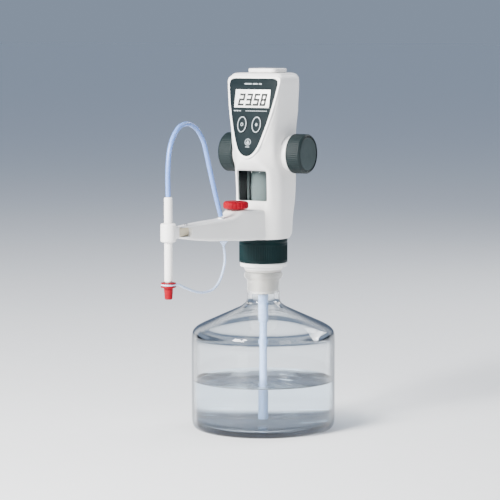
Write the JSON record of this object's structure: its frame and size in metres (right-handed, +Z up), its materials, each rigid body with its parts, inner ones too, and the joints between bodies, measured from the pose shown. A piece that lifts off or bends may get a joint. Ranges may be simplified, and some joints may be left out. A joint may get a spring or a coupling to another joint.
{
  "type": "bottle-top burette",
  "caption": "Digital bottle-top burette: piston-driven head with display, hand wheels, extendable delivery arm and capped titrating tube on a glass reservoir bottle.",
  "frame": {"origin": "centre of the bottle's flat base", "axes": "+Z up along the bottle's axis; -Y towards the user, the way the display faces and the arm points; +X to the right of someone facing the display"},
  "size_m": [0.1664, 0.2962, 0.4173],
  "materials": {
    "bottle_glass": "clear",
    "clear_glass": "clear",
    "white_plastic": "satin",
    "slate_plastic": "satin",
    "wheel_plastic": "matte",
    "ring_plastic": "matte",
    "red_plastic": "gloss",
    "beige_plastic": "matte",
    "natural_plastic": "translucent",
    "hose_plastic": "translucent",
    "steel": "brushed",
    "black_plastic": "matte",
    "board": "matte",
    "screen": "clear",
    "brass": "machined"
  },
  "bodies": {
    "bottle": {"bottle": "bottle_glass"},
    "mounting_ring": {"mounting_ring": "ring_plastic"},
    "suction_tube": {"suction_tube_lower": "hose_plastic"},
    "handwheels": {"drive_shaft": "steel", "pinion": "brass", "handwheel_left": "wheel_plastic", "handwheel_cap_left": "wheel_plastic", "handwheel_right": "wheel_plastic", "handwheel_cap_right": "wheel_plastic"},
    "piston": {"piston_head": "natural_plastic", "piston_rod": "beige_plastic"},
    "key_power": {"key_power": "slate_plastic"},
    "key_clear": {"key_clear": "slate_plastic"},
    "battery_door": {"battery_door": "white_plastic"},
    "purge_knob": {"purge_knob": "red_plastic", "purge_spindle": "natural_plastic"},
    "extension": {"extension_rod": "beige_plastic", "tube_clamp": "white_plastic"},
    "titrating_tube": {"titrating_tube": "white_plastic", "nozzle_tip": "hose_plastic"},
    "tip_cap": {"tip_cap": "red_plastic", "tether_ring": "natural_plastic"},
    "check_ball": {"valve_ball": "clear_glass"},
    "head": {"joint_adapter": "natural_plastic", "valve_block": "natural_plastic", "suction_valve": "natural_plastic", "suction_tube_upper": "hose_plastic", "glass_cylinder": "clear_glass", "drive_frame": "black_plastic", "housing_front": "white_plastic", "housing_rear": "white_plastic", "top_cover": "white_plastic", "housing_screw_1": "steel", "housing_screw_2": "steel", "housing_screw_3": "steel", "housing_screw_4": "steel", "display_fascia": "slate_plastic", "lcd_module": "screen", "circuit_board": "board", "key_switch_power": "black_plastic", "key_switch_clear": "black_plastic", "window_pane": "clear_glass", "battery_1": "steel", "battery_2": "steel", "battery_contact_lower": "steel", "battery_contact_upper": "steel", "arm_housing": "white_plastic", "purge_valve": "natural_plastic", "discharge_valve": "natural_plastic", "discharge_tube": "hose_plastic", "hose_socket": "natural_plastic", "delivery_hose": "hose_plastic", "arm_screw": "steel", "tether_hook": "natural_plastic", "cap_tether": "hose_plastic"}
  },
  "joints": [
    {"name": "head_lift", "type": "slide", "parent": "bottle", "child": "head", "axis": [0, 0, 1], "range_m": [0, 0.2]},
    {"name": "ring_turn", "type": "hinge", "parent": "head", "child": "mounting_ring", "pos_m": [0, 0, 0.207], "axis": [0, 0, 1], "range_deg": [0, 360]},
    {"name": "suction_telescope", "type": "slide", "parent": "head", "child": "suction_tube", "axis": [0, 0, 1], "range_m": [0, 0.05]},
    {"name": "wheel_turn", "type": "hinge", "parent": "head", "child": "handwheels", "pos_m": [0, 0.0095, 0.32], "axis": [-1, 0, 0], "range_deg": [0, 415]},
    {"name": "piston_travel", "type": "slide", "parent": "head", "child": "piston", "axis": [0, 0, 1], "range_m": [0, 0.055]},
    {"name": "key_power_press", "type": "slide", "parent": "head", "child": "key_power", "axis": [0, 0.9785, -0.2062], "range_m": [0, 0.0008], "stiffness_N_per_m": 500},
    {"name": "key_clear_press", "type": "slide", "parent": "head", "child": "key_clear", "axis": [0, 0.9785, -0.2062], "range_m": [0, 0.0008], "stiffness_N_per_m": 500},
    {"name": "battery_door_off", "type": "slide", "parent": "head", "child": "battery_door", "axis": [0, 1, 0], "range_m": [0, 0.03]},
    {"name": "purge_turn", "type": "hinge", "parent": "head", "child": "purge_knob", "pos_m": [0, -0.062, 0.26], "axis": [0, 0, 1], "range_deg": [0, 90]},
    {"name": "arm_extend", "type": "slide", "parent": "head", "child": "extension", "axis": [0, -1, 0], "range_m": [0, 0.06], "deforming": ["delivery_hose", "cap_tether"]},
    {"name": "tube_height", "type": "slide", "parent": "extension", "child": "titrating_tube", "axis": [0, 0, 1], "range_m": [-0.02, 0.02]},
    {"name": "cap_off", "type": "slide", "parent": "titrating_tube", "child": "tip_cap", "axis": [0, 0, -1], "range_m": [0, 0.03]},
    {"name": "check_ball_lift", "type": "slide", "parent": "head", "child": "check_ball", "axis": [0, 0, 1], "range_m": [0, 0.003]}
  ],
  "couplings": [
    {"joint": "piston_travel", "follows": "wheel_turn", "m_per_rad": 0.0075}
  ]
}
